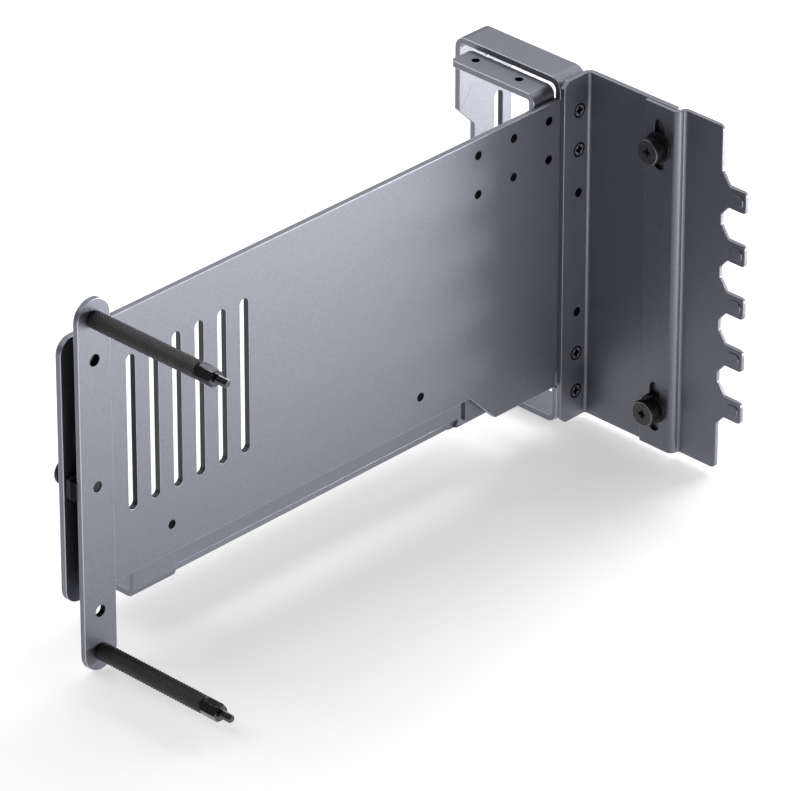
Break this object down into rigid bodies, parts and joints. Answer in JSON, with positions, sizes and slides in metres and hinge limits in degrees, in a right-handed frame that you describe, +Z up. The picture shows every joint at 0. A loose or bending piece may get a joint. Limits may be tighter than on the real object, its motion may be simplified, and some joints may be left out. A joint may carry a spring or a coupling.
{
  "type": "vertical graphics card mount",
  "caption": "Folded steel bracket that holds a graphics card upright in a case, with a sliding slot comb, card bracket, riser tray and knurled pillars",
  "frame": {"origin": "end of the comb's middle tongue, in the plane of the corner bracket's outer face", "axes": "+X out through the rear of the case, -Y towards the motherboard, +Z up along the row of slots"},
  "size_m": [0.2559, 0.1215, 0.1386],
  "materials": {
    "plate_paint": "fine gunmetal powder coat on steel sheet",
    "knurled_steel": "blackened steel, diamond knurl",
    "black_chrome": "black chrome",
    "black_screw": "matte black oxide",
    "small_screw": "black zinc"
  },
  "bodies": {
    "mount": {"back_plate": "plate_paint", "card_bracket": "plate_paint", "card_bracket_screw_1": "small_screw", "card_bracket_screw_2": "small_screw", "clamp_pad": "plate_paint", "corner_bracket": "plate_paint", "corner_screw_1": "small_screw", "corner_screw_2": "small_screw", "corner_screw_3": "small_screw", "corner_screw_4": "small_screw", "main_plate": "plate_paint", "pillar_screw_lower": "small_screw", "pillar_screw_upper": "small_screw", "riser_tray": "plate_paint", "support_bar": "plate_paint", "tray_screw_left": "small_screw", "tray_screw_right": "small_screw"},
    "comb": {"slot_comb": "plate_paint"},
    "thumb_upper": {"comb_thumbscrew_upper": "black_screw", "comb_washer_upper": "black_screw"},
    "thumb_lower": {"comb_thumbscrew_lower": "black_screw", "comb_washer_lower": "black_screw"},
    "clamp": {"clamp_thumbscrew": "black_screw", "clamp_washer": "black_screw"},
    "pillar_up": {"pillar_upper": "knurled_steel"},
    "pillar_down": {"pillar_lower": "knurled_steel"},
    "standoff_up": {"standoff_upper": "black_chrome"},
    "standoff_down": {"standoff_lower": "black_chrome"}
  },
  "joints": [
    {"name": "comb_slide", "type": "slide", "parent": "mount", "child": "comb", "axis": [0, 0, 1], "range_m": [-0.0078, 0.0068]},
    {"name": "thumb_upper_turn", "type": "hinge", "parent": "mount", "child": "thumb_upper", "pos_m": [0, 0.0364, 0.0508], "axis": [1, 0, 0], "continuous": true},
    {"name": "thumb_lower_turn", "type": "hinge", "parent": "mount", "child": "thumb_lower", "pos_m": [0, 0.0364, -0.0508], "axis": [1, 0, 0], "continuous": true},
    {"name": "clamp_turn", "type": "hinge", "parent": "mount", "child": "clamp", "pos_m": [-0.2356, 0.0792, 0.0016], "axis": [0, -1, 0], "continuous": true},
    {"name": "pillar_upper_turn", "type": "hinge", "parent": "mount", "child": "pillar_up", "pos_m": [-0.2356, 0.0697, 0.06383], "axis": [0, 1, 0], "continuous": true},
    {"name": "pillar_lower_turn", "type": "hinge", "parent": "mount", "child": "pillar_down", "pos_m": [-0.2356, 0.0697, -0.06063], "axis": [0, 1, 0], "continuous": true},
    {"name": "standoff_upper_turn", "type": "hinge", "parent": "pillar_up", "child": "standoff_up", "pos_m": [-0.2356, 0.0211, 0.06383], "axis": [0, 1, 0], "continuous": true},
    {"name": "standoff_lower_turn", "type": "hinge", "parent": "pillar_down", "child": "standoff_down", "pos_m": [-0.2356, 0.0211, -0.06063], "axis": [0, 1, 0], "continuous": true}
  ]
}
